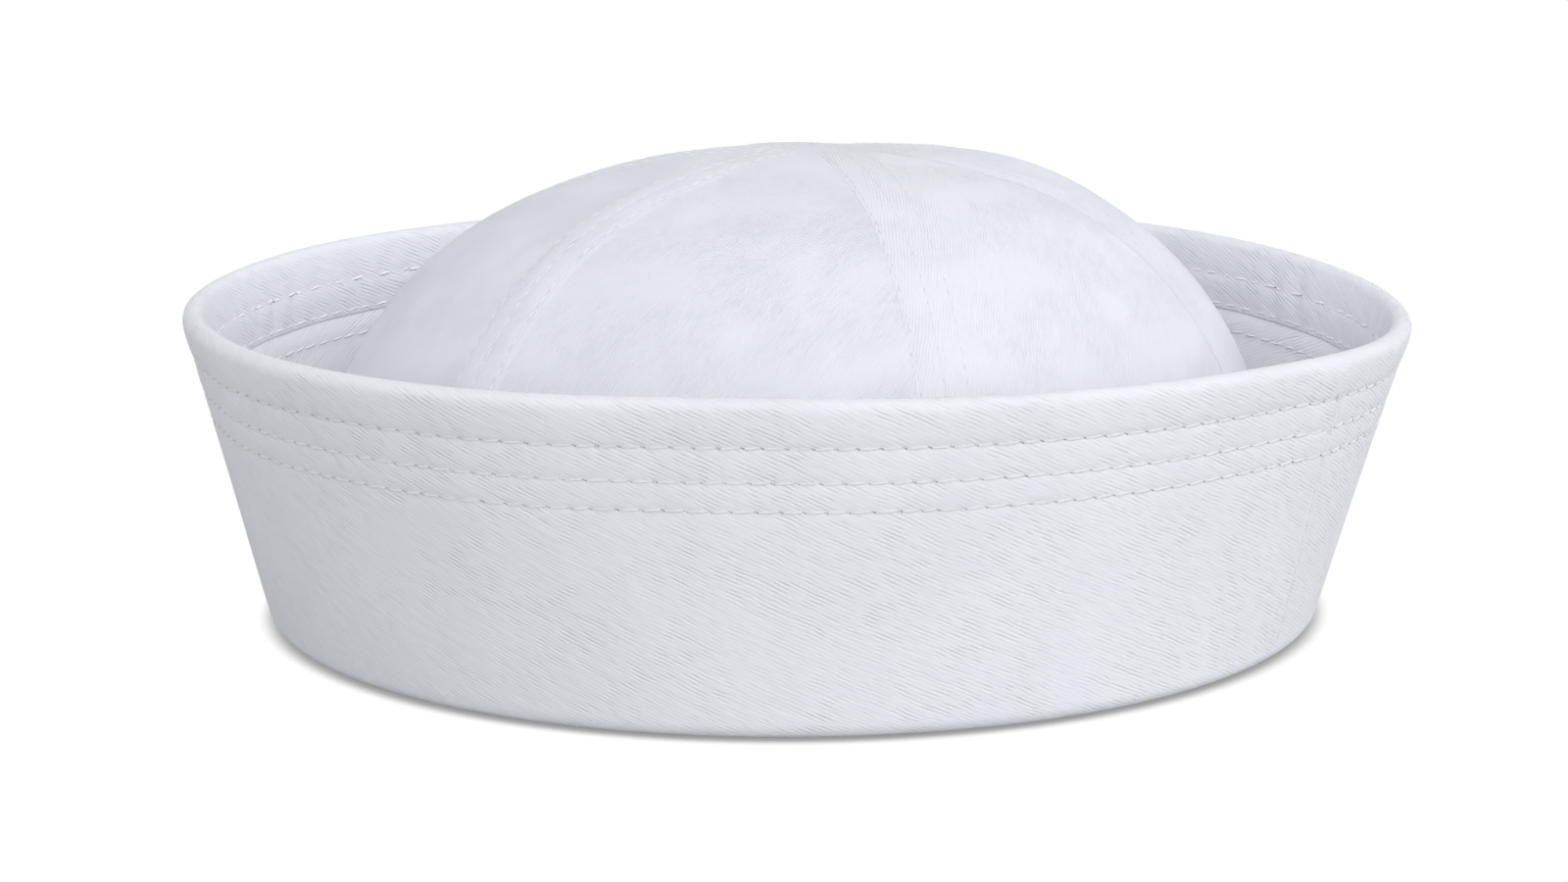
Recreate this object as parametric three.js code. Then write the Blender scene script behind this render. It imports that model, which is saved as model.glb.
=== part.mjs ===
// A sailor cap of white cotton twill: a crown of six gores inside an upturned brim of two plies.
// Millimetres, +Z up, standing on Z = 0 with the origin at the middle of the whole cap in plan.
// An azimuth is in degrees from the front (-Y) towards +X.
import * as THREE from "three";
import { ParametricGeometry } from "three/addons/geometries/ParametricGeometry.js";
import { mergeVertices } from "three/addons/utils/BufferGeometryUtils.js";

// Cloth
const CLOTH = 1.0; // one ply of the brim
const CROWN_CLOTH = 1.2; // a gore, with its pressed face
const PLY_GAP = 0.25; // air between two plies that lie together
const PIECE_GAP = 0.3; // air between two neighbouring pieces

// Brim
const BASE_HALF_WIDTH = 97.8; // outside of the brim at the floor, left to right
const BASE_HALF_DEPTH = 96.4; // and front to back
const BRIM_SLANT = 59.8; // height of the upturned band, along its slope
const BASE_FOLD_RADIUS = 3.2; // outside of the fold that the cap stands on
const SEAM_ALLOWANCE = 5.5; // how far the plies turn in under the crown's edge
const HEM_DEPTH = 14.5; // the hem turned down inside the rim
const BRIM_SECTIONS = 64; // facets round the brim

// The rim leans out unevenly, so this puts the middle of the whole cap over the origin
const MIDDLE = { x: -1.4, y: 2.4 };

// How the band leans out and how high its rim stands, round the cap
const BRIM_SHAPE = [
  { azimuth: 0, flare: 7, rise: 2.4 },
  { azimuth: 45, flare: 10, rise: 0.7 },
  { azimuth: 90, flare: 17.4, rise: -1.8 },
  { azimuth: 135, flare: 12, rise: -1.9 },
  { azimuth: 180, flare: 2, rise: -2.4 },
  { azimuth: 225, flare: 5, rise: -0.7 },
  { azimuth: 270, flare: 14.5, rise: 1.2 },
  { azimuth: 315, flare: 13.7, rise: 2.8 },
];

// Crown
const CROWN_HALF_WIDTH = 91.7;
const CROWN_HALF_DEPTH = 89.6;
const CROWN_HEIGHT = 85.8;
const CROWN_FULLNESS = 2.55; // power of its rounded profile: 2 is an ellipse, more is fuller
const CROWN_LEAN = { right: 0.016, front: 0.07 }; // how much higher those sides stand
const APEX_SHIFT = { right: 6.5, back: 12 }; // where the gores meet, from the middle
const CROWN_SKIRT = { height: 22, spread: 3.4 }; // the lowest part widens to the brim's base
const GORE_TIP_RADIUS = 1.2; // the gores' tips stop this far from the apex
const GORE_COLUMNS = 7;
const GORE_ROWS = 11;

// The six seams between the gores
const CROWN_SEAMS = [-44.5, 19.5, 75, 136, 197, 256];

// Soft swellings of the crown, and its dents where the height is negative, seen in plan
const CROWN_FOLDS = [
  { right: 44, back: 22, spread: 17, height: 0.9 },
  { right: 14, back: 34, spread: 18, height: -0.7 },
  { right: 72, back: 20, spread: 16, height: -0.7 },
];

const COTTON = { white: 0xf4f4f8, hem: 0xf1f1f6, inner: 0xeeeef4, roughness: 0.9 };

function outward(azimuth) {
  const angle = THREE.MathUtils.degToRad(azimuth);
  return new THREE.Vector3(Math.sin(angle), -Math.cos(angle), 0);
}

// ---- Brim -------------------------------------------------------------------------------------

const brimShape = new THREE.CatmullRomCurve3(
  BRIM_SHAPE.map((row) => new THREE.Vector3(row.flare, row.rise, 0)),
  true,
  "catmullrom",
);

function arc(centre, radius, from, to, steps) {
  const points = [];
  for (let i = 0; i <= steps; i++) {
    const angle = from + ((to - from) * i) / steps;
    points.push(new THREE.Vector2(Math.cos(angle), Math.sin(angle)).multiplyScalar(radius).add(centre));
  }
  return points;
}

// The middle line of a ply in the brim's section: x is outward from the base line, y is up.
// inset is its depth under the outer face of the band.
function plyRoute(flare, inset, withHem) {
  const lean = THREE.MathUtils.degToRad(flare);
  const alongWall = (slant, depth) =>
    new THREE.Vector2(
      slant * Math.sin(lean) - depth * Math.cos(lean),
      slant * Math.cos(lean) + depth * Math.sin(lean),
    );
  const foldCentre = new THREE.Vector2(
    (BASE_FOLD_RADIUS * (Math.sin(lean) - 1)) / Math.cos(lean),
    BASE_FOLD_RADIUS,
  );
  const rollDepth = 1.5 * CLOTH + PLY_GAP;
  const rollSlant = BRIM_SLANT - rollDepth;
  const wallStart = 6;
  const landEnd = foldCentre.x - 0.5;
  const route = [new THREE.Vector2(-SEAM_ALLOWANCE, inset), new THREE.Vector2(landEnd, inset)];
  route.push(...arc(foldCentre, BASE_FOLD_RADIUS - inset, -Math.PI / 2, -lean, 3));
  for (const part of [0, 0.35, 0.7]) {
    route.push(alongWall(THREE.MathUtils.lerp(wallStart, rollSlant, part), inset));
  }
  if (withHem) {
    route.push(...arc(alongWall(rollSlant, rollDepth), rollDepth - inset, -lean, Math.PI - lean, 5));
    route.push(alongWall(BRIM_SLANT - HEM_DEPTH, 2 * rollDepth - inset));
  } else {
    route.push(alongWall(rollSlant, inset));
  }
  return route;
}

// A closed outline of even thickness along a route, from its outer face back along its inner one.
function plyOutline(route, thickness) {
  const outer = [];
  const inner = [];
  route.forEach((point, i) => {
    const before = route[Math.max(i - 1, 0)];
    const after = route[Math.min(i + 1, route.length - 1)];
    const side = after.clone().sub(before).normalize();
    const normal = new THREE.Vector2(side.y, -side.x).multiplyScalar(thickness / 2);
    outer.push(point.clone().add(normal));
    inner.unshift(point.clone().sub(normal));
  });
  return [...outer, ...inner];
}

function basePoint(azimuth) {
  const direction = outward(azimuth);
  return direction.multiply(new THREE.Vector3(BASE_HALF_WIDTH, BASE_HALF_DEPTH, 1));
}

function brimPoint(azimuth, sectionPoint) {
  const normal = outward(azimuth).divide(new THREE.Vector3(BASE_HALF_WIDTH, BASE_HALF_DEPTH, 1)).normalize();
  const rise = brimShape.getPoint(azimuth / 360).y;
  const point = basePoint(azimuth).addScaledVector(normal, sectionPoint.x);
  point.z = sectionPoint.y + rise * Math.max(0, sectionPoint.y / BRIM_SLANT) ** 2;
  return point;
}

function closedGeometry(geometry) {
  geometry.deleteAttribute("normal");
  geometry.deleteAttribute("uv");
  const merged = mergeVertices(geometry, 1e-4);
  merged.computeVertexNormals();
  return merged;
}

function brimPly(name, inset, withHem, color) {
  const outlines = [];
  for (let i = 0; i < BRIM_SECTIONS; i++) {
    const azimuth = (360 * i) / BRIM_SECTIONS;
    const flare = brimShape.getPoint(azimuth / 360).x;
    outlines.push(plyOutline(plyRoute(flare, inset, withHem), CLOTH).map((p) => brimPoint(azimuth, p)));
  }
  const corners = outlines[0].length;
  const surface = (u, v, target) => {
    const section = outlines[Math.round(u * BRIM_SECTIONS) % BRIM_SECTIONS];
    target.copy(section[Math.round(v * corners) % corners]);
  };
  const geometry = closedGeometry(new ParametricGeometry(surface, BRIM_SECTIONS, corners));
  return clothMesh(name, geometry, color);
}

// ---- Crown ------------------------------------------------------------------------------------

// Rise runs from 0 at the crown's lowest edge to 1 at its apex, nearly in step with its height.
function riseAtHeight(height) {
  const angle = Math.asin((height / CROWN_HEIGHT) ** (CROWN_FULLNESS / 2));
  return ((2 * angle) / Math.PI) ** (2 / CROWN_FULLNESS);
}

function riseAtRadius(radius) {
  const angle = Math.acos((radius / CROWN_HALF_WIDTH) ** (CROWN_FULLNESS / 2));
  return ((2 * angle) / Math.PI) ** (2 / CROWN_FULLNESS);
}

// The crown's outer face, without its folds.
function crownFace(azimuth, rise) {
  const angle = (Math.PI / 2) * rise ** (CROWN_FULLNESS / 2);
  const reach = Math.cos(angle) ** (2 / CROWN_FULLNESS);
  const height = CROWN_HEIGHT * Math.sin(angle) ** (2 / CROWN_FULLNESS);
  const point = outward(azimuth).multiply(new THREE.Vector3(CROWN_HALF_WIDTH, CROWN_HALF_DEPTH, 0));
  point.multiplyScalar(reach);
  point.x += APEX_SHIFT.right * (1 - reach);
  point.y += APEX_SHIFT.back * (1 - reach);
  const leanRight = (CROWN_LEAN.right * point.x) / CROWN_HALF_WIDTH;
  const leanFront = (-CROWN_LEAN.front * point.y) / CROWN_HALF_DEPTH;
  point.z = height * (1 + leanRight + leanFront);
  const skirt = Math.max(0, 1 - point.z / CROWN_SKIRT.height);
  return point.addScaledVector(outward(azimuth), CROWN_SKIRT.spread * skirt ** 2);
}

function crownNormal(azimuth, rise) {
  const step = 0.002;
  const round = crownFace(azimuth + 1, rise).sub(crownFace(azimuth - 1, rise));
  const upward = crownFace(azimuth, Math.min(rise + step, 1)).sub(crownFace(azimuth, Math.max(rise - step, 0)));
  return round.cross(upward).normalize();
}

// How far the folds push the face out at a point of it.
function foldHeight(point) {
  let height = 0;
  for (const fold of CROWN_FOLDS) {
    const away = Math.hypot(point.x - fold.right, point.y - fold.back) / fold.spread;
    height += fold.height * Math.exp(-(away ** 2));
  }
  return height;
}

function crownPoint(azimuth, rise, inset) {
  const face = crownFace(azimuth, rise);
  return face.addScaledVector(crownNormal(azimuth, rise), foldHeight(face) - inset);
}

// A gore is a flat block bent onto the crown: across it is x, up it is y, and through it is z.
function crownGore(index) {
  const start = CROWN_SEAMS[index];
  const next = CROWN_SEAMS[(index + 1) % CROWN_SEAMS.length];
  const end = next > start ? next : next + 360;
  const edgeHeight = 2 * CLOTH + PLY_GAP + PIECE_GAP;
  const edgeRise = riseAtHeight(edgeHeight);
  const tipRise = riseAtRadius(GORE_TIP_RADIUS);
  const block = new THREE.BoxGeometry(1, 1, 1, GORE_COLUMNS, GORE_ROWS, 1);
  const corners = block.attributes.position;
  const corner = new THREE.Vector3();
  for (let i = 0; i < corners.count; i++) {
    corner.fromBufferAttribute(corners, i);
    const azimuth = THREE.MathUtils.lerp(start, end, corner.x + 0.5);
    const rise = THREE.MathUtils.lerp(edgeRise, tipRise, corner.y + 0.5);
    const point = crownPoint(azimuth, rise, (0.5 - corner.z) * CROWN_CLOTH);
    point.addScaledVector(outward(azimuth + 90), -corner.x * PIECE_GAP);
    point.z = Math.max(point.z, edgeHeight);
    corners.setXYZ(i, point.x, point.y, point.z);
  }
  return clothMesh(`crown_gore_${index + 1}`, closedGeometry(block), COTTON.white);
}

function clothMesh(name, geometry, color) {
  const material = new THREE.MeshStandardMaterial({ color, roughness: COTTON.roughness, metalness: 0 });
  const mesh = new THREE.Mesh(geometry, material);
  mesh.name = name;
  return mesh;
}

const cap = new THREE.Group();
cap.add(brimPly("brim_outer", CLOTH / 2, true, COTTON.hem));
cap.add(brimPly("brim_inner", 1.5 * CLOTH + PLY_GAP, false, COTTON.inner));
CROWN_SEAMS.forEach((seam, index) => cap.add(crownGore(index)));
cap.position.set(MIDDLE.x, MIDDLE.y, 0);

export default cap;
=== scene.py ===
import math

import bpy
import numpy as np
from mathutils import Matrix, Vector

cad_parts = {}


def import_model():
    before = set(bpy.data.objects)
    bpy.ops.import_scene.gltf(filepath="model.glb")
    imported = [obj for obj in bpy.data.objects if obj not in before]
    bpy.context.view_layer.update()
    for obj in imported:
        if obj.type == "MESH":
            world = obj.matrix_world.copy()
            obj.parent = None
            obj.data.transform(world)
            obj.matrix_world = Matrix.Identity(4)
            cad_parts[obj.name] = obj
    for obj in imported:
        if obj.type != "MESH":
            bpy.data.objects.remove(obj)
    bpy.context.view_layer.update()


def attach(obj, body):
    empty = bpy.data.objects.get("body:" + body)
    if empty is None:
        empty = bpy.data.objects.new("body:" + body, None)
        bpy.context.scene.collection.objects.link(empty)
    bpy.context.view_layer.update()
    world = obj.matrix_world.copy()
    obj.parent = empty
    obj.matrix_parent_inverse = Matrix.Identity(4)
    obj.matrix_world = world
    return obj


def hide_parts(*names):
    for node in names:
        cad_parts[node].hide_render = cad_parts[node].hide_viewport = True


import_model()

# Lengths are in millimetres until a mesh is made, and an azimuth is in degrees from the front (-Y)
# towards +X. The first block repeats the CAD's own sizes.
CLOTH = 1.0
PLY_GAP = 0.25
BASE_HALF_WIDTH = 97.8
BASE_HALF_DEPTH = 96.4
BRIM_SLANT = 59.8
FOLD_RADIUS = 3.2
SEAM_ALLOWANCE = 5.5
HEM_DEPTH = 14.5
OUTER_INSET = CLOTH / 2  # from the brim's face in to a ply's middle line
INNER_INSET = 1.5 * CLOTH + PLY_GAP
ROLL_DEPTH = 1.5 * CLOTH + PLY_GAP
ROLL_SLANT = BRIM_SLANT - ROLL_DEPTH
MIDDLE = (-1.4, 2.4)
BRIM_FLARE = (7, 10, 17.4, 12, 2, 5, 14.5, 13.7)
BRIM_RISE = (2.4, 0.7, -1.8, -1.9, -2.4, -0.7, 1.2, 2.8)
CROWN_HALF_WIDTH = 91.7
CROWN_HALF_DEPTH = 89.6
CROWN_HEIGHT = 85.8
CROWN_FULLNESS = 2.55
CROWN_LEAN_RIGHT = 0.016
CROWN_LEAN_FRONT = 0.07
APEX_RIGHT = 6.5
APEX_BACK = 12
SKIRT_HEIGHT = 22
SKIRT_SPREAD = 3.4
CROWN_EDGE = 2.55
CROWN_SEAMS = (-44.5, 19.5, 75, 136, 197, 256)
CROWN_FOLDS = ((44, 22, 17, 0.9), (14, 34, 18, -0.7), (72, 20, 16, -0.7))

# Soft creases in the crown: start and end in plan, half width and height
CROWN_CREASES = (
    (6.5, 12, -64.3, -63.9, 10, 0.8),
    (6.5, 12, 30.6, -84.5, 10, 0.5),
    (-14, -8, -8, -84, 8, -0.6),
    (18, -2, 84, -13, 8, -0.7),
)

# Sewing on the brim
BRIM_ROWS = (7.8, 13.7, 18.7)  # rows of stitches, below the rim along the slope
BRIM_STITCHES = 160  # in each row
BRIM_SEAM = 63.2  # azimuth of the brim's own seam
MM_PER_DEGREE = 1.75  # round the brim, on average
SEAM_STITCH = 3.1  # length of a stitch in the brim's own seam
WALL_FADE = (57.5, 50)  # where the wall's relief fades out towards the base
THREAD = 0.23  # radius

# Sewing on the crown
GORES = len(CROWN_SEAMS)
GORE_CLOTH = 0.45
TIP_GAP = 0.03  # from the gores' tips to the crown's middle
LAP_FOLD = 0.06  # height of a felled seam at its folded edge
LAP_LIFT = 0.3  # and over its rows
THINNEST = 0.06  # least thickness of the lapping cloth
SEAM_BULK = (0.9, 0.1, 0.15, 0.8, 0.7, 0.8)  # how thick each felled seam is pressed
LAP_ROWS = (-4.25, 0.15, 4.45)  # rows of stitches, across a felled seam
ROW_STEP = 0.8  # between the rows of a gore's mesh
STITCH_ROWS = 4  # mesh rows to a stitch
FINE_THREAD = 0.17  # radius

# Studio: each soft light's direction, narrowness and strength
SOFT_LIGHTS = [
    ((0.0, -0.97, 0.26), 10.0, 3.5),
    ((0.97, 0.0, 0.26), 10.0, 1.7),
    ((0.68, 0.68, 0.26), 10.0, 2.0),
    ((-0.68, 0.68, 0.26), 10.0, 1.5),
    ((0.45, -0.45, 0.77), 10.0, 3.0),
    ((-0.64, 0.0, 0.77), 10.0, 1.9),
]
LIGHT_COLOR = (0.98, 0.985, 1.0)
FLOOR_WHITE = 0.6
SHADOW_REACH = 0.003
SHADOW_DEPTH = 0.3

# Camera: its place in metres, and its angles in degrees
CAMERA_PLACE = (0.0129, -1.1476, 0.2945)
CAMERA_LENS = 144.5
CAMERA_TURN = 0.789
CAMERA_DOWN = 12.886
CAMERA_ROLL = -0.286

random = np.random.default_rng(7)


# ---- Numbers --------------------------------------------------------------------------------

def ease(low, high, x):
    """Rises smoothly from 0 at low to 1 at high."""
    t = np.clip((x - low) / (high - low), 0, 1)
    return t * t * (3 - 2 * t)


def swell(x, low, high):
    """A full, soft hump between low and high."""
    return np.sin(np.pi * np.clip((x - low) / (high - low), 0, 1)) ** 0.7


def dip(x, middle, width):
    """A narrow bell round middle."""
    return np.exp(-(((x - middle) / width) ** 2))


def outward(azimuth):
    """The direction in plan that an azimuth points in."""
    angle = np.radians(azimuth)
    return np.stack([np.sin(angle), -np.cos(angle)], -1)


def around(values, azimuth):
    """A smooth closed curve through values spaced evenly round the cap."""
    values = np.asarray(values, float)
    place = np.asarray(azimuth, float) / 360 * len(values)
    first = np.floor(place).astype(int)
    t = place - first
    a, b, c, d = (values[(first + k) % len(values)] for k in (-1, 0, 1, 2))
    start, end = (c - a) / 2, (d - b) / 2
    return (2 * b - 2 * c + start + end) * t**3 + (-3 * b + 3 * c - 2 * start - end) * t**2 + start * t + b


def waves(count, lowest, highest, seed):
    """Waves round the cap that also drift with height: rows of turns, drift, phase and share."""
    rng = np.random.default_rng(seed)
    turns = rng.integers(lowest, highest + 1, count)
    drift, phase = rng.uniform(-0.07, 0.07, count), rng.uniform(0, 6.28, count)
    return turns, drift, phase, rng.normal(0, 1, count) / math.sqrt(count)


def wave_height(table, azimuth, height):
    total = 0
    for turns, drift, phase, share in zip(*table):
        total = total + share * np.cos(turns * np.radians(azimuth) + drift * height + phase)
    return total


def ring_noise(count, softness, seed):
    """Even random numbers round a ring, smoothed over softness neighbours, about 1 in size."""
    rng = np.random.default_rng(seed)
    raw = rng.normal(0, 1, count)
    reach = np.arange(-4 * math.ceil(softness), 4 * math.ceil(softness) + 1)
    kernel = np.exp(-((reach / softness) ** 2) / 2)
    padded = np.concatenate([raw[reach[0]:], raw, raw[: reach[-1]]])
    made = np.convolve(padded, kernel / np.sqrt((kernel**2).sum()), "valid")
    return made[:count]


# ---- Meshes ---------------------------------------------------------------------------------

def make_piece(name, points, quads, uv, material):
    """A mesh from points in millimetres and rows of four corners, riding on the cap."""
    mesh = bpy.data.meshes.new(name)
    points = np.asarray(points, float).reshape(-1, 3) * 0.001
    mesh.vertices.add(len(points))
    mesh.vertices.foreach_set("co", points.ravel())
    mesh.loops.add(quads.size)
    mesh.loops.foreach_set("vertex_index", quads.ravel().astype(np.int32))
    mesh.polygons.add(len(quads))
    mesh.polygons.foreach_set("loop_start", np.arange(0, quads.size, 4, dtype=np.int32))
    mesh.polygons.foreach_set("use_smooth", np.ones(len(quads), bool))
    layer = mesh.uv_layers.new(name="Weave")
    layer.uv.foreach_set("vector", np.asarray(uv, float).ravel())
    mesh.update(calc_edges=True)
    mesh.validate()
    piece = bpy.data.objects.new(name, mesh)
    bpy.context.collection.objects.link(piece)
    mesh.materials.append(material)
    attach(piece, "root")
    return piece


def grid_quads(index):
    """Quads over a grid of point numbers, wound so that (down, across) turns left."""
    a, b, c, d = index[:-1, :-1], index[1:, :-1], index[1:, 1:], index[:-1, 1:]
    return np.stack([a, b, c, d], -1).reshape(-1, 4)


# ---- Brim -----------------------------------------------------------------------------------

def brim_azimuths(holes):
    """Where the brim's sections stand: at each needle hole, and closer together at its seam."""
    across = np.array([-2.4, -1.6, -0.9, -0.4, 0, 0.4, 0.75, 1.05, 1.35, 1.8, 2.6])
    at_seam = BRIM_SEAM + across / MM_PER_DEGREE
    places = np.sort(np.concatenate([holes.ravel() % 360, at_seam]))
    kept = [places[0]]
    for place in places[1:]:
        if place - kept[-1] > 0.17:
            kept.append(place)
    if kept[0] + 360 - kept[-1] < 0.17:
        kept.pop()
    filled = []
    for place, following in zip(kept, kept[1:] + [kept[0] + 360]):
        filled.append(place)
        if following - place > 0.75:
            filled.append((place + following) / 2)
    first = np.searchsorted(filled, BRIM_SEAM + 0.65)
    return np.roll(filled, -first)


def needle_holes(seed):
    """Azimuths of the holes of each row, a little uneven as a machine leaves them."""
    rng = np.random.default_rng(seed)
    even = np.arange(BRIM_STITCHES) * 360 / BRIM_STITCHES
    rows = [even + start + rng.normal(0, 0.16, BRIM_STITCHES) for start in (0.2, 1.1, 1.7)]
    return np.array(rows)


HOLES = needle_holes(11)
AZIMUTHS = brim_azimuths(HOLES)
BAND_WAVES = waves(9, 3, 13, 5)
BULGE_WAVES = waves(10, 14, 44, 6)
HEM_WAVES = waves(12, 60, 110, 8)
PUCKERS = [ring_noise(720, 1.3, 20 + i) for i in range(3)]
LOOSE = [ring_noise(720, 5, 30 + i) for i in range(3)]


def from_hole(azimuth, row):
    """Distance in mm to the nearest needle hole of a row."""
    holes = np.sort(HOLES[row] % 360)
    holes = np.concatenate([[holes[-1] - 360], holes, [holes[0] + 360]])
    place = np.asarray(azimuth) % 360
    after = np.clip(np.searchsorted(holes, place), 1, len(holes) - 1)
    return np.minimum(np.abs(place - holes[after - 1]), np.abs(holes[after] - place)) * MM_PER_DEGREE


def pucker(azimuth, below, row, lean):
    """Little creases that run off a row of stitches, aslant as the twill does."""
    aslant = (np.asarray(azimuth) + lean * (below - BRIM_ROWS[row]) / MM_PER_DEGREE) % 360
    place = aslant * 2
    crease = np.interp(place, np.arange(721), np.append(PUCKERS[row], PUCKERS[row][0]))
    loose = np.interp(place, np.arange(721), np.append(LOOSE[row], LOOSE[row][0]))
    away = np.abs(below - BRIM_ROWS[row])
    return crease * (0.6 + 0.4 * np.clip(loose, -1, 1.5)) * np.exp(-away / 2.2) * ease(0, 0.8, away + 0.25)


def sewn(azimuth, below, row, deep=1.0):
    """The line that a row of stitches presses into the cloth, deepest at its needle holes."""
    away = below - BRIM_ROWS[row]
    holes = 0.2 * dip(from_hole(azimuth, row), 0, 0.5) * dip(away, 0, 0.42)
    return deep * (0.05 * dip(away, 0, 0.6) + holes)


def seam_relief(azimuth):
    """The brim's own seam: the left cloth laps over the right one and is sewn 1 mm from its fold."""
    across = ((np.asarray(azimuth) - BRIM_SEAM + 180) % 360 - 180) * MM_PER_DEGREE
    lap = 0.34 * (1 - ease(0.95, 1.5, across)) * ease(-9, -6, across)
    return lap + 0.12 * dip(across, 0.85, 0.45) - 0.16 * dip(across, 0, 0.4)


def outer_relief(azimuth, below):
    """How far the band's outer face stands off its even surface."""
    first, second, third = BRIM_ROWS
    height = 0.4 * swell(below, 0, first) + 0.15 * swell(below, first, second)
    height = height + 0.12 * swell(below, second, third)
    height = height + 0.1 * ease(third, third + 3, below) * np.exp(-(below - third) / 14)
    for row in range(3):
        height = height - sewn(azimuth, below, row) + 0.06 * pucker(azimuth, below, row, 1.6)
    fade = ease(0, 3, below)
    bulge = wave_height(BULGE_WAVES, azimuth, below * 0.6)
    height = height + fade * 0.07 * bulge * (1 - ease(15, 40, below) * 0.5)
    return height + seam_relief(azimuth) * ease(0.5, 3, below) * (1 - ease(54, 57.5, below))


def hem_relief(azimuth, below):
    """The same on the hem, which thins towards its edge and puckers between its two rows."""
    first, second, _ = BRIM_ROWS
    height = 0.25 * swell(below, 0, first) + 0.14 * swell(below, first, second) - 0.7 * ease(8.0, 14.4, below)
    height = height + 0.12 * wave_height(HEM_WAVES, azimuth, below) * swell(below, 3, 14)
    for row in (0, 1):
        height = height - sewn(azimuth, below, row, 0.35) + 0.04 * pucker(azimuth, below, row, -1.2)
    return height


def ply_relief(azimuth, below):
    """The same on the inner ply, under the hem."""
    height = 0.05 * wave_height(BULGE_WAVES, azimuth, below * 0.5) + 0.35 * swell(below, 13.9, 19.5)
    return height - sewn(azimuth, below, 2, 0.35) + 0.04 * pucker(azimuth, below, 2, -1.2)


def band_shift(azimuth, slant):
    """Soft waves that the whole band has, more towards its free rim."""
    return 0.28 * wave_height(BAND_WAVES, azimuth, slant * 0.5) * ease(2, 45, slant)


def section(azimuth, kind, value, inset):
    """A ply's middle line at one station of its section: outward, up, and the way its face looks."""
    lean = np.radians(around(BRIM_FLARE, azimuth))
    sin, cos = np.sin(lean), np.cos(lean)
    fold = (FOLD_RADIUS * (sin - 1) / cos, FOLD_RADIUS)
    if kind == "land":
        x = -SEAM_ALLOWANCE + value * (fold[0] - 0.5 + SEAM_ALLOWANCE)
        return x, inset + 0 * x, 0 * x, -1 + 0 * x
    if kind == "fold":
        angle = -np.pi / 2 + value * (np.pi / 2 - lean)
        reach = FOLD_RADIUS - inset
        return fold[0] + reach * np.cos(angle), fold[1] + reach * np.sin(angle), np.cos(angle), np.sin(angle)
    if kind == "roll":
        angle = -lean + value * np.pi
        reach = ROLL_DEPTH - inset
        x = ROLL_SLANT * sin - ROLL_DEPTH * cos + reach * np.cos(angle)
        y = ROLL_SLANT * cos + ROLL_DEPTH * sin + reach * np.sin(angle)
        return x, y, np.cos(angle), np.sin(angle)
    depth, facing = (inset, 1) if kind == "wall" else (2 * ROLL_DEPTH - inset, -1)
    return value * sin - depth * cos, value * cos + depth * sin, facing * cos, -facing * sin


def brim_point(azimuth, kind, value, inset, lift):
    """A point lift mm off a ply's middle line, in the cap's frame."""
    x, y, face_x, face_y = section(azimuth, kind, value, inset)
    lean = np.radians(around(BRIM_FLARE, azimuth))
    slant = {"land": 0, "fold": 0, "roll": ROLL_SLANT}.get(kind, value)
    shift = band_shift(azimuth, slant)
    x = x + face_x * lift + shift * np.cos(lean)
    y = y + face_y * lift - shift * np.sin(lean)
    out = outward(azimuth)
    normal = out / np.array([BASE_HALF_WIDTH, BASE_HALF_DEPTH])
    normal = normal / np.linalg.norm(normal, axis=-1, keepdims=True)
    plan = out * np.array([BASE_HALF_WIDTH, BASE_HALF_DEPTH]) + normal * x[..., None] + np.array(MIDDLE)
    z = y + around(BRIM_RISE, azimuth) * np.maximum(0, y / BRIM_SLANT) ** 2
    return np.concatenate([plan, z[..., None]], -1)


def brim_frame(azimuth, kind, value, inset, lift):
    """A point of a ply's face, with its outward normal."""
    point = brim_point(azimuth, kind, value, inset, lift)
    normal = brim_point(azimuth, kind, value, inset, lift + 0.5) - point
    return point, unit(normal)


def unit(v):
    return v / np.linalg.norm(v, axis=-1, keepdims=True)


def below_rim(kind, value):
    """How far under the rim's top a station is, along the slope."""
    if kind in ("wall", "hem"):
        return BRIM_SLANT - value
    if kind == "roll":
        return ROLL_DEPTH * (1 - math.sin(value * math.pi))
    return BRIM_SLANT - 2


def ring_piece(name, stations, material):
    """A closed ring from stations (kind, value, inset, lift by azimuth) round a ply's section."""
    columns = []
    for kind, value, inset, lift in stations:
        height = lift(AZIMUTHS) if callable(lift) else lift + 0 * AZIMUTHS
        columns.append(brim_point(AZIMUTHS, kind, value, inset, height))
    points = np.stack(columns, 1)
    sections, corners = points.shape[:2]
    index = np.arange(sections * corners).reshape(sections, corners)
    index = np.concatenate([index, index[:1]], 0)
    index = np.concatenate([index, index[:, :1]], 1)
    round_mm = np.append((AZIMUTHS - AZIMUTHS[0]) % 360, 360) * MM_PER_DEGREE
    steps = np.linalg.norm(np.diff(points[0], axis=0, append=points[0, :1]), axis=1)
    u, v = np.meshgrid(round_mm, np.append(0, np.cumsum(steps)), indexing="ij")
    uv = np.stack([u, v], -1) * 0.01
    corner = np.arange(index.size).reshape(index.shape)
    quads, uv_quads = (grid_quads(numbers)[:, ::-1] for numbers in (index, corner))
    return make_piece(name, points, quads, uv.reshape(-1, 2)[uv_quads], material)


def wall_values(low, fine_from, fine_to, high, coarse, fine):
    """Stations up the wall, closer together where it is sewn."""
    first = np.arange(low, fine_from, coarse)
    second = np.arange(fine_from, fine_to, fine)
    third = np.arange(fine_to, high, coarse)
    return np.concatenate([first, second, third, [high]])


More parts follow.
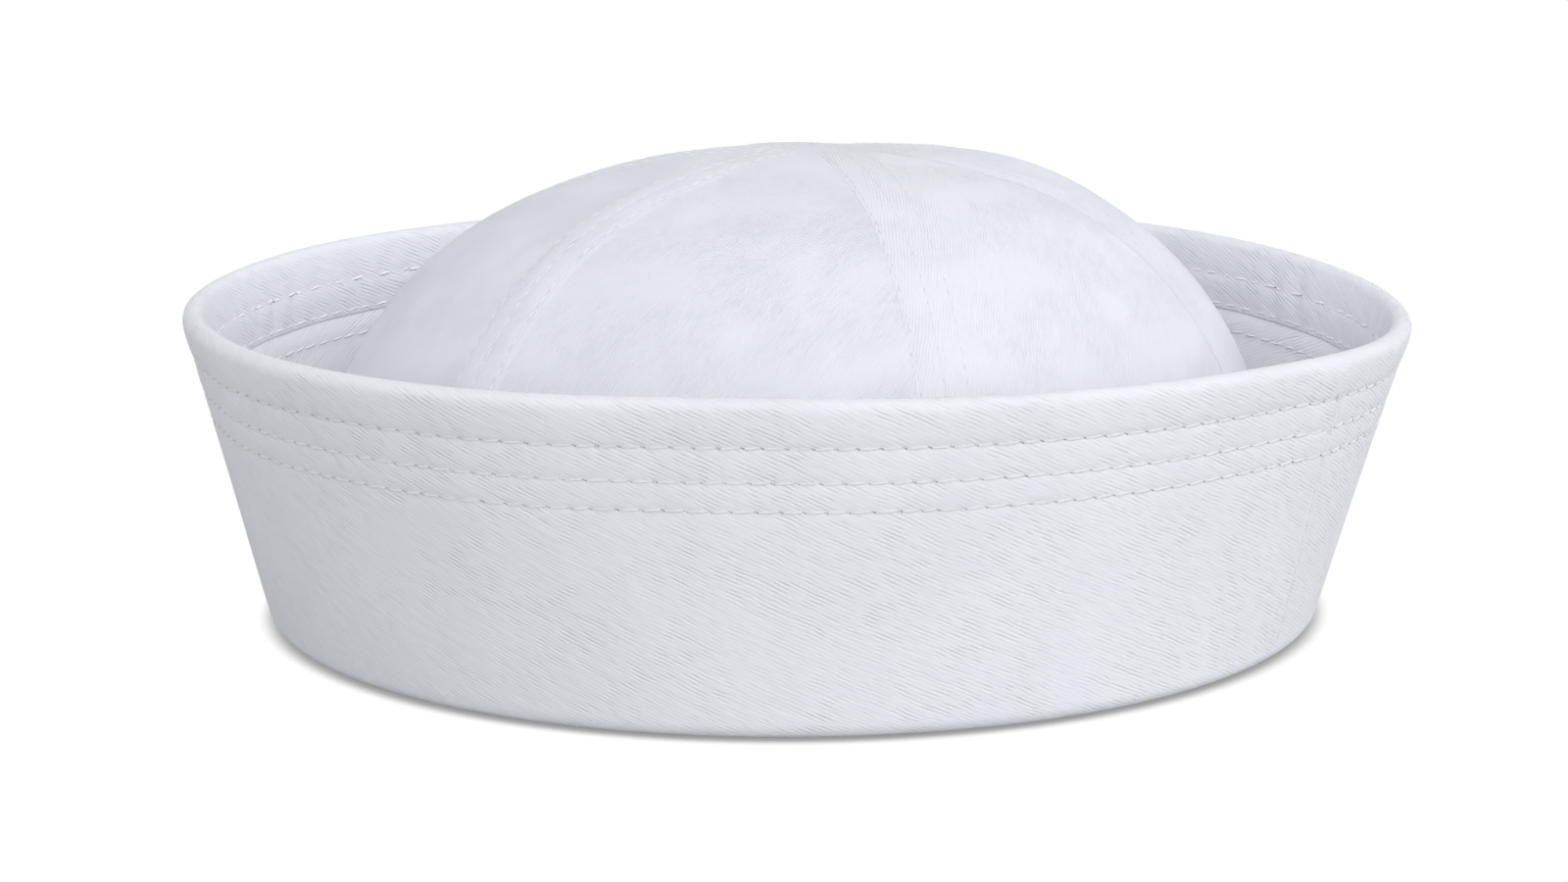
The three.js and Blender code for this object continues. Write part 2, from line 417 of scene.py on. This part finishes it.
def brim_outer(material):
    """The outer ply: land, base fold, wall, rolled rim and hem, then back along its hidden face."""
    inset, half = OUTER_INSET, CLOTH / 2
    stations = []

    def face(kind, value, relief):
        below = below_rim(kind, value)
        stations.append((kind, value, inset, lambda az: half + relief(az, below)))

    def flat(az, below):
        return 0 * az

    def wall(az, below):
        return outer_relief(az, below) * ease(*WALL_FADE, below)

    for value in (0, 0.3, 0.65, 1):
        face("land", value, flat)
    for value in np.linspace(0.12, 1, 8):
        face("fold", value, flat)
    for slant in wall_values(3.4, 38, 57.6, ROLL_SLANT, 1.7, 0.5):
        face("wall", slant, wall)
    for value in np.linspace(0.09, 0.91, 10):
        face("roll", value, outer_relief if value < 0.5 else hem_relief)
    for slant in np.arange(ROLL_SLANT, BRIM_SLANT - HEM_DEPTH, -0.75):
        face("hem", slant, hem_relief)
    edge = BRIM_SLANT - HEM_DEPTH
    for lift, out in ((-0.22, -0.03), (-0.27, -0.1), (-0.33, -0.13), (-0.4, -0.1), (-0.47, 0.0)):
        stations.append(("hem", edge + out, inset, lift))
    hidden = [("hem", (50, 55)), ("roll", (1, 0.7, 0.4, 0.1)), ("wall", (57, 50, 40, 30, 20, 10, 4)),
              ("fold", (1, 0.66, 0.33)), ("land", (1, 0.5, 0))]
    stations += [(kind, value, inset, -half) for kind, values in hidden for value in values]
    piece = ring_piece("brim_outer_cloth", stations, material)
    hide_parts("brim_outer")


def brim_inner(material):
    """The inner ply: its face towards the crown shows from the trough up to the hem."""
    inset, half = INNER_INSET, CLOTH / 2
    hidden = [("land", (0, 0.5, 1)), ("fold", (0.25, 0.5, 0.75, 1)), ("wall", (4, 15, 28, 42, 52, 57))]
    stations = [(kind, value, inset, half) for kind, values in hidden for value in values]
    stations.append(("wall", 57.3, inset, 0.0))

    def face(slant):
        below, share = BRIM_SLANT - slant, ease(3, 9, slant)
        stations.append(("wall", slant, inset, lambda az: -half - share * ply_relief(az, below)))

    for slant in wall_values(3.2, 37.5, 45.0, 57.0, 1.9, 0.5)[::-1]:
        face(slant)
    shown = [("fold", (0.9, 0.6, 0.3)), ("land", (1, 0.5, 0))]
    stations += [(kind, value, inset, -half) for kind, values in shown for value in values]
    piece = ring_piece("brim_inner_cloth", stations, material)
    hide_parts("brim_inner")


# ---- Crown ----------------------------------------------------------------------------------

CROWN_WAVES = [(random.uniform(0.1, 0.24), *random.uniform(-0.16, 0.16, 2), random.uniform(0, 6.28))
               for _ in range(9)]


def crown_face(azimuth, rise):
    """The crown's even surface, from its edge at rise 0 to its top at rise 1."""
    angle = np.pi / 2 * rise ** (CROWN_FULLNESS / 2)
    reach = np.cos(angle) ** (2 / CROWN_FULLNESS)
    height = CROWN_HEIGHT * np.sin(angle) ** (2 / CROWN_FULLNESS)
    out = outward(azimuth)
    x = out[..., 0] * CROWN_HALF_WIDTH * reach + APEX_RIGHT * (1 - reach)
    y = out[..., 1] * CROWN_HALF_DEPTH * reach + APEX_BACK * (1 - reach)
    lean = CROWN_LEAN_RIGHT * x / CROWN_HALF_WIDTH - CROWN_LEAN_FRONT * y / CROWN_HALF_DEPTH
    z = height * (1 + lean)
    skirt = SKIRT_SPREAD * np.maximum(0, 1 - z / SKIRT_HEIGHT) ** 2
    return np.stack([x + out[..., 0] * skirt, y + out[..., 1] * skirt, z], -1)


def crown_normal(azimuth, rise):
    """The way the crown's even surface looks."""
    low, high = np.maximum(rise - 0.002, 0), np.minimum(rise + 0.002, 1 - 1e-6)
    across = crown_face(azimuth + 1, rise) - crown_face(azimuth - 1, rise)
    return unit(np.cross(across, crown_face(azimuth, high) - crown_face(azimuth, low)))


def creases(point):
    """Soft creases along straight lines in plan: ridges at two seams, and two pressed dents."""
    total = 0
    for x0, y0, x1, y1, width, height in CROWN_CREASES:
        length = math.hypot(x1 - x0, y1 - y0)
        along_x, along_y = (x1 - x0) / length, (y1 - y0) / length
        x, y = point[..., 0] - x0, point[..., 1] - y0
        along, away = x * along_x + y * along_y, x * along_y - y * along_x
        ends = ease(0, 22, along) * (1 - ease(length - 12, length + 4, along))
        total = total + height * ends * np.exp(-np.sqrt(away**2 + 1.5) / width)
    return total


def crown_swell(point):
    """The crown's soft folds and creases, and the slight unevenness of pressed cloth."""
    total = creases(point)
    for right, back, spread, height in CROWN_FOLDS:
        away = (point[..., 0] - right) ** 2 + (point[..., 1] - back) ** 2
        total = total + height * np.exp(-away / spread**2)
    for size, along_x, along_y, phase in CROWN_WAVES:
        total = total + 0.4 * size * np.cos(along_x * point[..., 0] + along_y * point[..., 1] + phase)
    return total


def crown_point(azimuth, rise, lift):
    """A point lift mm off the crown, in the cap's frame."""
    face = crown_face(azimuth, rise)
    point = face + crown_normal(azimuth, rise) * (crown_swell(face) + lift)[..., None]
    point[..., 2] = np.maximum(point[..., 2], CROWN_EDGE)
    return point + np.array([*MIDDLE, 0])


def gore_rises():
    """Rises from the crown's edge to its tip, evenly spaced along the cloth."""
    fine = 1 - np.linspace(1, 0, 6000)[:-1] ** 2
    line = crown_face(np.full(len(fine), 5.0), fine)
    start = np.searchsorted(line[:, 2], CROWN_EDGE)
    reach = np.hypot(line[:, 0] - APEX_RIGHT, line[:, 1] - APEX_BACK)
    end = np.nonzero(reach > TIP_GAP)[0][-1]
    length = np.append(0, np.cumsum(np.linalg.norm(np.diff(line[start:end + 1], axis=0), axis=1)))
    count = int(length[-1] / ROW_STEP)
    return np.interp(np.linspace(0, length[-1], count + 1), length, fine[start:end + 1]), length[-1] / count


RISES, RISE_STEP = gore_rises()
SEAM_TURNS = np.diff(np.append(CROWN_SEAMS, CROWN_SEAMS[0] + 360))


def mm_per_degree(azimuth):
    return np.linalg.norm(crown_face(azimuth + 0.5, RISES) - crown_face(azimuth - 0.5, RISES), axis=-1)


def seam_scale(seam):
    """Felled seams narrow together where the gores' tips do."""
    room = mm_per_degree(CROWN_SEAMS[seam]) * min(SEAM_TURNS[seam], SEAM_TURNS[seam - 1])
    return np.minimum(1, room / 15)


def seam_size(seam):
    """A seam's thickness along it, pressed flatter where all six meet at the crown's tip."""
    angle = np.pi / 2 * RISES ** (CROWN_FULLNESS / 2)
    reach = np.cos(angle) ** (2 / CROWN_FULLNESS) * CROWN_HALF_WIDTH
    return SEAM_BULK[seam] * (0.2 + 0.8 * ease(2, 34, reach))


SEAM_SIZES = [seam_size(seam) for seam in range(GORES)]
LAP_COLUMNS = np.array([-5.0, -4.85, -4.7, -4.5, -4.25, -3.9, -3.4, -2.7, -1.9, -1.1, -0.5, 0.15, 0.8,
                        1.5, 2.3, 3.1, 3.8, 4.45, 5.0, 5.5, 6.0, 6.7])
UNDER_COLUMNS = np.array([-7.2, -6.2, -5.6, -5.2, -4.9, -4.4, -1.5, 1.5, 4.3])
FIELD_COLUMNS = 52


def lap_top(across):
    """Height of a felled seam's face: a thin pressed fold at its left, easing down at its right."""
    return (LAP_FOLD + (LAP_LIFT - LAP_FOLD) * ease(-5.0, -4.1, across)) * (1 - ease(4.75, 6.3, across))


def lap_under(across):
    """Height of the underside of the lapping cloth, which lies on the cloth beneath it."""
    return -0.02 - 0.16 * ease(-5.0, -4.3, across) - 0.27 * ease(4.6, 6.0, across)


def lap_relief(across, row, seam, size):
    """A felled seam's outer face: lifted by the cloth under it, pressed in along its rows."""
    height = lap_top(across)
    for low, high in zip(LAP_ROWS, LAP_ROWS[1:]):
        height = height + 0.12 * swell(across, low, high)
    for i, place in enumerate(LAP_ROWS):
        at_hole = ((row + i) % STITCH_ROWS == 0) * 1.0
        height = height - (0.07 + 0.16 * at_hole) * dip(across, place, 0.42)
        crease = SEAM_PUCKERS[seam][i][row]
        near = np.exp(-np.abs(across - place) / 1.6) * ease(0, 0.8, np.abs(across - place) + 0.2)
        height = height + 0.06 * crease * near
    return height * size


SEAM_PUCKERS = [[ring_noise(len(RISES), 1.1, 100 + 10 * seam + i) for i in range(3)] for seam in range(GORES)]


def gore_azimuths(index):
    """The azimuth of each mesh column in each row, from the lap's fold to under the next gore."""
    start = CROWN_SEAMS[index]
    end = start + SEAM_TURNS[index]
    left = start + LAP_COLUMNS * (seam_scale(index) / mm_per_degree(start))[:, None]
    right = end + UNDER_COLUMNS * (seam_scale((index + 1) % GORES) / mm_per_degree(end))[:, None]
    share = np.linspace(0, 1, FIELD_COLUMNS + 2)[1:-1]
    field = left[:, -1:] + (right[:, :1] - left[:, -1:]) * share
    return np.concatenate([left, field, right], 1)


def gore_lift(index, azimuth):
    """Heights of a gore's outer and inner faces over the crown's even surface."""
    following = (index + 1) % GORES
    start = CROWN_SEAMS[index]
    end = start + SEAM_TURNS[index]
    left = (azimuth - start) * (mm_per_degree(start) / seam_scale(index))[:, None]
    right = (azimuth - end) * (mm_per_degree(end) / seam_scale(following))[:, None]
    row = np.arange(len(RISES))[:, None]
    size = SEAM_SIZES[index][:, None]
    tucked = -0.2 * ease(-5.15, -4.4, right)
    outer = lap_relief(left, row, index, size) + tucked
    inner = np.minimum(lap_under(left) + tucked, outer - THINNEST)
    inner = np.where(left > 6, tucked - GORE_CLOTH, inner)
    return outer, inner


def gore(index, material):
    """One gore: its two faces and the edge round them."""
    azimuth = gore_azimuths(index)
    rise = np.repeat(RISES[:, None], azimuth.shape[1], 1)
    outer_lift, inner_lift = gore_lift(index, azimuth)
    outer = crown_point(azimuth, rise, outer_lift)
    inner = crown_point(azimuth, rise, inner_lift)
    rows, columns = azimuth.shape
    numbers = np.arange(2 * rows * columns).reshape(2, rows, columns)
    edge_rows = np.concatenate([np.arange(rows), np.full(columns - 2, rows - 1),
                                np.arange(rows)[::-1], np.zeros(columns - 2, int)])
    edge_columns = np.concatenate([np.zeros(rows, int), np.arange(1, columns - 1),
                                   np.full(rows, columns - 1), np.arange(1, columns - 1)[::-1]])
    edge = numbers[:, edge_rows, edge_columns].T
    edge = np.concatenate([edge, edge[:1]])
    faces = (grid_quads(numbers[0])[:, ::-1], grid_quads(numbers[1]), grid_quads(edge)[:, ::-1])
    quads = np.concatenate(faces)
    middle = CROWN_SEAMS[index] + SEAM_TURNS[index] / 2
    u = (azimuth - middle) * mm_per_degree(middle)[:, None]
    v = np.repeat((np.arange(rows) * RISE_STEP)[:, None], columns, 1)
    uv = np.tile(np.stack([u, v], -1).reshape(-1, 2) * 0.01, (2, 1))
    points = np.concatenate([outer.reshape(-1, 3), inner.reshape(-1, 3)])
    piece = make_piece(f"crown_gore_{index + 1}_cloth", points, quads, uv[quads], material)
    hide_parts(f"crown_gore_{index + 1}")


# ---- Stitches -------------------------------------------------------------------------------

def stitch_piece(name, starts, ends, normals, material, slot, radius=THREAD, rings=8, sides=6):
    """Closed lengths of thread, each from one needle hole to the next."""
    starts, ends, normals = (np.concatenate(part) for part in (starts, ends, normals))
    along = unit(ends - starts)
    side = unit(np.cross(along, normals))
    share = np.linspace(0, 1, rings)
    arch = np.sin(np.pi * share) ** 0.45
    slip = 0.13 * np.cos(np.pi * share)
    middle = starts[:, None] + (ends - starts)[:, None] * share[:, None]
    middle = middle + normals[:, None] * (-0.3 + 0.36 * arch)[:, None] + side[:, None] * slip[:, None]
    width = radius * (0.72 + 0.28 * arch)
    turn = np.linspace(0, 2 * np.pi, sides, endpoint=False)
    spoke = normals[:, None] * np.cos(turn)[:, None] * 0.85 + side[:, None] * np.sin(turn)[:, None]
    points = middle[:, :, None] + spoke[:, None] * width[:, None, None]
    stitches = len(starts)
    number = np.arange(stitches * rings * sides).reshape(stitches, rings, sides)
    wrapped = np.concatenate([number, number[:, :, :1]], 2)
    a, b = wrapped[:, :-1, :-1], wrapped[:, 1:, :-1]
    c, d = wrapped[:, 1:, 1:], wrapped[:, :-1, 1:]
    tube = np.stack([a, b, c, d], -1).reshape(-1, 4)
    caps = [np.stack([number[:, end, i] for i in corners], -1)
            for end, turns in ((0, 1), (rings - 1, -1))
            for corners in ((0, 1, 2, 3)[::turns], (0, 3, 4, 5)[::turns])]
    quads = np.concatenate([tube, *caps])
    lengths = np.tile(np.repeat(share, sides), stitches)
    turns = np.tile(np.arange(sides) / sides, stitches * rings)
    uv = np.stack([lengths, turns], -1)
    return make_piece(name, points, quads, uv[quads], material)


def brim_row(row, kind, inset, facing, relief, sunk):
    """Hole-to-hole lengths of one row on one face of the brim."""
    slant = BRIM_SLANT - BRIM_ROWS[row]
    holes = np.sort(HOLES[row])
    between = (holes + np.roll(holes + 360 * (holes < holes[0] + 1), -1)) / 2
    height = relief(between, BRIM_ROWS[row])
    lift = facing * (CLOTH / 2 + (height + np.roll(height, 1)) / 2 - sunk)
    points, normals = brim_frame(holes, kind, slant, inset, lift)
    return points, np.roll(points, -1, 0), unit(normals + np.roll(normals, -1, 0)) * facing


def brim_stitches(material):
    """The three rows near the rim, on both faces of the brim."""
    outside = [brim_row(row, "wall", OUTER_INSET, 1, outer_relief, -0.02) for row in range(3)]
    stitch_piece("brim_stitches_outside", *zip(*outside), material, "brim_twill")
    hem = [brim_row(row, "hem", OUTER_INSET, 1, hem_relief, 0.12) for row in (0, 1)]
    ply = brim_row(2, "wall", INNER_INSET, -1, ply_relief, 0.1)
    stitch_piece("brim_stitches_inside", *zip(*hem, ply), material, "brim_twill")


def seam_row(slants, inset, facing, lifts):
    """Hole-to-hole lengths up one face of the brim's own seam."""
    place = np.array([BRIM_SEAM])
    points = np.array([brim_point(place, "wall", slant, inset, np.array([lift]))[0]
                       for slant, lift in zip(slants, lifts)])
    normals = np.array([brim_frame(place, "wall", slant, inset, 0.5)[1][0] for slant in slants])
    return points[:-1], points[1:], facing * normals[:-1]


def seam_stitches(material):
    """The row that closes the brim's own seam, on both its faces."""
    slants = np.arange(4.5, 57, SEAM_STITCH)
    below = BRIM_SLANT - slants
    relief = outer_relief(np.full(len(slants), BRIM_SEAM), below)
    outside = seam_row(slants, OUTER_INSET, 1, CLOTH / 2 + relief * ease(*WALL_FADE, below) + 0.05)
    slants = np.arange(6.0, 44, SEAM_STITCH)
    inside = seam_row(slants, INNER_INSET, -1, np.full(len(slants), -0.56))
    stitch_piece("brim_seam_stitches", *zip(outside, inside), material, "brim_twill")


def crown_row(seam, i, inner):
    """Hole-to-hole lengths of one row of a crown seam."""
    last = len(RISES) - 12
    holes = np.array([row for row in range(4, last) if (row + i) % STITCH_ROWS == 0])
    rate = seam_scale(seam) / mm_per_degree(CROWN_SEAMS[seam])
    azimuth = CROWN_SEAMS[seam] + LAP_ROWS[i] * rate[holes]
    if inner:
        lift = np.full(len(holes), -GORE_CLOTH - 0.05)
        facing = -1
    else:
        lift = (LAP_LIFT - 0.07) * SEAM_SIZES[seam][holes] - 0.13 + 0.08 * SEAM_BULK[seam]
        facing = 1
    points = crown_point(azimuth, RISES[holes], lift)
    normals = crown_normal(azimuth, RISES[holes]) * facing
    return points[:-1], points[1:], unit(normals[:-1] + normals[1:])


def crown_stitches(material):
    """The three rows along each crown seam, on both faces of the crown."""
    for name, inner in (("crown_stitches_outside", False), ("crown_stitches_inside", True)):
        rows = [crown_row(seam, i, inner) for seam in range(GORES) for i in range(3)]
        stitch_piece(name, *zip(*rows), material, "crown_twill", FINE_THREAD)


# ---- Materials ------------------------------------------------------------------------------

class Nodes:
    """A material's node tree, with short calls for its maths."""

    def __init__(self, name, color, roughness):
        self.material = bpy.data.materials.new(name)
        self.material.use_nodes = True
        self.tree = self.material.node_tree
        self.shader = self.tree.nodes["Principled BSDF"]
        self.shader.inputs["Base Color"].default_value = (*color, 1)
        self.shader.inputs["Roughness"].default_value = roughness
        self.shader.inputs["Specular IOR Level"].default_value = 0.25
        self.shader.inputs["Sheen Weight"].default_value = 0.12
        self.shader.inputs["Sheen Roughness"].default_value = 0.5

    def new(self, kind, **settings):
        node = self.tree.nodes.new(kind)
        for key, value in settings.items():
            setattr(node, key, value)
        return node

    def feed(self, socket, value):
        if hasattr(value, "is_output"):
            self.tree.links.new(value, socket)
        else:
            socket.default_value = value

    def math(self, operation, a, b=0.0, c=0.0):
        node = self.new("ShaderNodeMath", operation=operation)
        for socket, value in zip(node.inputs, (a, b, c)):
            self.feed(socket, value)
        return node.outputs[0]

    def blend(self, share, a, b):
        node = self.new("ShaderNodeMix", data_type="RGBA")
        self.feed(node.inputs["Factor"], share)
        self.feed(node.inputs["A"], a)
        self.feed(node.inputs["B"], b)
        return node.outputs["Result"]

    def uv(self):
        split = self.new("ShaderNodeSeparateXYZ")
        self.tree.links.new(self.new("ShaderNodeUVMap", uv_map="Weave").outputs["UV"], split.inputs[0])
        return split.outputs["X"], split.outputs["Y"]

    def noise(self, vector, scale, detail=2.0):
        node = self.new("ShaderNodeTexNoise")
        self.feed(node.inputs["Vector"], vector)
        node.inputs["Scale"].default_value = scale
        node.inputs["Detail"].default_value = detail
        return node.outputs["Fac"]

    def vector(self, x, y, z=0.0):
        node = self.new("ShaderNodeCombineXYZ")
        for socket, value in zip(node.inputs, (x, y, z)):
            self.feed(socket, value)
        return node.outputs[0]

    def bump(self, height, distance):
        node = self.new("ShaderNodeBump")
        node.inputs["Distance"].default_value = distance
        self.feed(node.inputs["Height"], height)
        self.tree.links.new(node.outputs["Normal"], self.shader.inputs["Normal"])


def twill(name, color, shade, angle, pitch, wear):
    """Cotton twill: ribs at an angle across the cloth, plain in places and worn away in others, with painted
    shade in the rib valleys.
    """
    n = Nodes(name, color, 0.88)
    u, v = (n.math("MULTIPLY", part, 100.0) for part in n.uv())

    def turned(share_u, share_v):
        return n.math("ADD", n.math("MULTIPLY", u, share_u), n.math("MULTIPLY", v, share_v))

    across = turned(-math.sin(angle), math.cos(angle))
    along = turned(math.cos(angle), math.sin(angle))

    def uneven(fine_across, fine_along, shift, detail):
        x, y = n.math("MULTIPLY", across, fine_across), n.math("MULTIPLY", along, fine_along)
        return n.noise(n.vector(x, y, shift), 1.0, detail)

    def between(value, low, high, least=0.0):
        kept = n.new("ShaderNodeMapRange", interpolation_type="SMOOTHSTEP")
        n.feed(kept.inputs["Value"], value)
        for socket, limit in (("From Min", low), ("From Max", high), ("To Min", least), ("To Max", 1.0)):
            kept.inputs[socket].default_value = limit
        return kept.outputs[0]

    drift = n.math("MULTIPLY", uneven(0.11, 0.11, 0.0, 2.0), 1.6)
    phase = n.math("ADD", n.math("DIVIDE", across, pitch), drift)
    rib = n.math("MULTIPLY_ADD", n.math("SINE", n.math("MULTIPLY", phase, 2 * math.pi)), 0.5, 0.5)
    yarn_phase = n.math("ADD", u, n.math("MULTIPLY", v, 0.03))
    yarn = n.math("SINE", n.math("MULTIPLY", yarn_phase, 2 * math.pi / 0.41))
    weave = n.math("MULTIPLY", rib, n.math("MULTIPLY_ADD", yarn, 0.15, 0.85))
    strokes = between(uneven(0.6, 0.3, 11.0, 1.0), 0.42, 0.66, 1 - 0.85 * wear)
    patches = between(uneven(0.07, 0.06, 7.0, 1.0), 0.36, 0.6, 0.4)
    clear = n.math("MULTIPLY", strokes, patches)
    slub = uneven(1.25, 0.16, 0.0, 3.0)
    crinkle = uneven(0.45, 0.13, 5.0, 2.0)
    height = n.math("ADD", n.math("MULTIPLY", weave, clear), n.math("MULTIPLY", slub, 0.7 * wear))
    height = n.math("ADD", height, n.math("MULTIPLY", crinkle, 0.8 * wear))
    # Painted shade: the ribs' valleys blend towards the darker colour; slubs and soft clouds add the cloth's
    # own uneven tone.
    rib_valley_shade = n.math("MULTIPLY", clear, 0.55 - 0.15 * wear)
    valley_shade_and_mottle = n.math("MULTIPLY", n.math("SUBTRACT", 0.5, weave), rib_valley_shade)
    valley_shade_and_mottle = n.math("ADD", valley_shade_and_mottle, n.math("MULTIPLY", n.math("SUBTRACT", 0.9, slub), 0.5 * wear))
    cloudy = n.math("MULTIPLY_ADD", uneven(0.045, 0.045, 3.0, 2.0), 0.35, 0.45 - 0.25 * wear)
    valley_shade_and_mottle = n.math("ADD", valley_shade_and_mottle, cloudy)
    n.feed(n.shader.inputs["Base Color"], n.blend(valley_shade_and_mottle, (*color, 1), (*shade, 1)))
    n.feed(n.shader.inputs["Roughness"], n.math("MULTIPLY_ADD", slub, 0.14, 0.8))
    n.bump(height, 0.00012)
    return n.material


def thread(name, color, hole):
    """Sewing thread: two plies twisted together, with painted shade where it dives into its needle holes."""
    n = Nodes(name, color, 0.6)
    length, turn = n.uv()
    end = n.math("ABSOLUTE", n.math("SUBTRACT", length, 0.5))
    # Painted shade: towards its ends the thread blends to its second colour, standing in for the shade inside
    # its needle holes.
    hole_shade_share = n.new("ShaderNodeMapRange", interpolation_type="SMOOTHSTEP")
    n.feed(hole_shade_share.inputs["Value"], end)
    hole_shade_share.inputs["From Min"].default_value = 0.37
    hole_shade_share.inputs["From Max"].default_value = 0.46
    n.feed(n.shader.inputs["Base Color"], n.blend(hole_shade_share.outputs[0], (*color, 1), (*hole, 1)))
    winding = n.math("ADD", n.math("MULTIPLY", length, 5.0), turn)
    twist = n.math("SINE", n.math("MULTIPLY", winding, 4 * math.pi))
    n.bump(n.math("MULTIPLY_ADD", twist, 0.5, 0.5), 0.00006)
    return n.material


# ---- Studio ---------------------------------------------------------------------------------

def by_ray(tree, seen, otherwise):
    """One shader for the camera's own rays, and another for all the rest."""
    path = tree.nodes.new("ShaderNodeLightPath")
    mix = tree.nodes.new("ShaderNodeMixShader")
    tree.links.new(path.outputs["Is Camera Ray"], mix.inputs[0])
    tree.links.new(otherwise.outputs[0], mix.inputs[1])
    tree.links.new(seen.outputs[0], mix.inputs[2])
    return mix.outputs[0]


def floor():
    """A white floor that darkens only close under the cap, and lights it no more than a pale table."""
    mesh = bpy.data.meshes.new("studio_floor")
    size, low = 6.0, -0.0002
    corners = [(-size, -size, low), (size, -size, low), (size, size, low), (-size, size, low)]
    mesh.from_pydata(corners, [], [(0, 1, 2, 3)])
    piece = bpy.data.objects.new("studio_floor", mesh)
    bpy.context.collection.objects.link(piece)
    material = bpy.data.materials.new("studio_white")
    material.use_nodes = True
    tree = material.node_tree
    tree.nodes.clear()
    near = tree.nodes.new("ShaderNodeAmbientOcclusion")
    near.samples = 4
    near.inputs["Distance"].default_value = SHADOW_REACH
    shadow = tree.nodes.new("ShaderNodeMapRange")
    for socket, value in (("From Min", 0.15), ("From Max", 0.9), ("To Min", SHADOW_DEPTH), ("To Max", 1.0)):
        shadow.inputs[socket].default_value = value
    tree.links.new(near.outputs["AO"], shadow.inputs["Value"])
    seen = tree.nodes.new("ShaderNodeEmission")
    seen.inputs["Color"].default_value = (1, 1, 1, 1)
    tree.links.new(shadow.outputs[0], seen.inputs["Strength"])
    lit = tree.nodes.new("ShaderNodeBsdfDiffuse")
    lit.inputs["Color"].default_value = (FLOOR_WHITE, FLOOR_WHITE, FLOOR_WHITE, 1)
    out = tree.nodes.new("ShaderNodeOutputMaterial")
    tree.links.new(by_ray(tree, seen, lit), out.inputs["Surface"])
    mesh.materials.append(material)


def world():
    """Soft lights all round the studio, as broad lobes, in front of a white backdrop."""
    made = bpy.data.worlds.new("studio")
    bpy.context.scene.world = made
    made.use_nodes = True
    tree = made.node_tree
    tree.nodes.clear()
    coordinates = tree.nodes.new("ShaderNodeTexCoord")

    def maths(operation, a, b):
        node = tree.nodes.new("ShaderNodeMath")
        node.operation = operation
        for socket, value in zip(node.inputs, (a, b)):
            if hasattr(value, "is_output"):
                tree.links.new(value, socket)
            else:
                socket.default_value = value
        return node.outputs[0]

    total = 0.0
    for direction, power, strength in SOFT_LIGHTS:
        facing = tree.nodes.new("ShaderNodeVectorMath")
        facing.operation = "DOT_PRODUCT"
        facing.inputs[1].default_value = Vector(direction).normalized()
        tree.links.new(coordinates.outputs["Generated"], facing.inputs[0])
        lobe = maths("POWER", maths("MAXIMUM", facing.outputs["Value"], 0.0), power)
        total = maths("ADD", total, maths("MULTIPLY", lobe, strength))
    dome = tree.nodes.new("ShaderNodeBackground")
    dome.inputs["Color"].default_value = (*LIGHT_COLOR, 1)
    tree.links.new(total, dome.inputs["Strength"])
    seen = tree.nodes.new("ShaderNodeBackground")
    seen.inputs["Color"].default_value = (1, 1, 1, 1)
    out = tree.nodes.new("ShaderNodeOutputWorld")
    tree.links.new(by_ray(tree, seen, dome), out.inputs["Surface"])


def camera():
    """The camera stands a little over a metre in front, looking 13 degrees down."""
    data = bpy.data.cameras.new("camera")
    data.sensor_width = 36
    data.lens = CAMERA_LENS
    data.clip_start, data.clip_end = 0.05, 30
    piece = bpy.data.objects.new("camera", data)
    bpy.context.collection.objects.link(piece)
    turn = Matrix.Rotation(math.radians(CAMERA_TURN), 4, "Z")
    tilt = Matrix.Rotation(math.radians(90 - CAMERA_DOWN), 4, "X")
    roll = Matrix.Rotation(math.radians(CAMERA_ROLL), 4, "Z")
    piece.matrix_world = Matrix.Translation(CAMERA_PLACE) @ turn @ tilt @ roll
    bpy.context.scene.camera = piece


def studio():
    """The floor, lights and camera, with colours shown as they are."""
    floor()
    world()
    camera()
    view = bpy.context.scene.view_settings
    view.view_transform = "Standard"
    view.look = "None"


# Each cloth's second colour is what the painted shade of its rib valleys and its own uneven tone blend
# towards.
brim_cloth = twill("brim_twill", (0.83, 0.835, 0.87), (0.66, 0.665, 0.71), math.radians(-25), 0.7, 1.0)
# Painted light: the inner ply is the brim's own cloth, given lighter colours so that its shaded face inside
# the cap reads brighter.
ply_cloth_lightened = twill("brim_ply_twill", (0.88, 0.88, 0.9), (0.72, 0.72, 0.755), math.radians(25), 0.7, 0.8)
crown_cloth = twill("crown_twill", (0.83, 0.835, 0.88), (0.65, 0.655, 0.71), math.radians(60), 0.52, 0.35)
# The second colour of each thread is painted shade for its needle holes.
brim_thread = thread("brim_thread", (0.88, 0.88, 0.91), (0.42, 0.42, 0.47))
crown_thread = thread("crown_thread", (0.84, 0.84, 0.87), (0.5, 0.5, 0.56))
brim_outer(brim_cloth)
brim_inner(ply_cloth_lightened)
for number in range(GORES):
    gore(number, crown_cloth)
brim_stitches(brim_thread)
seam_stitches(brim_thread)
crown_stitches(crown_thread)
studio()
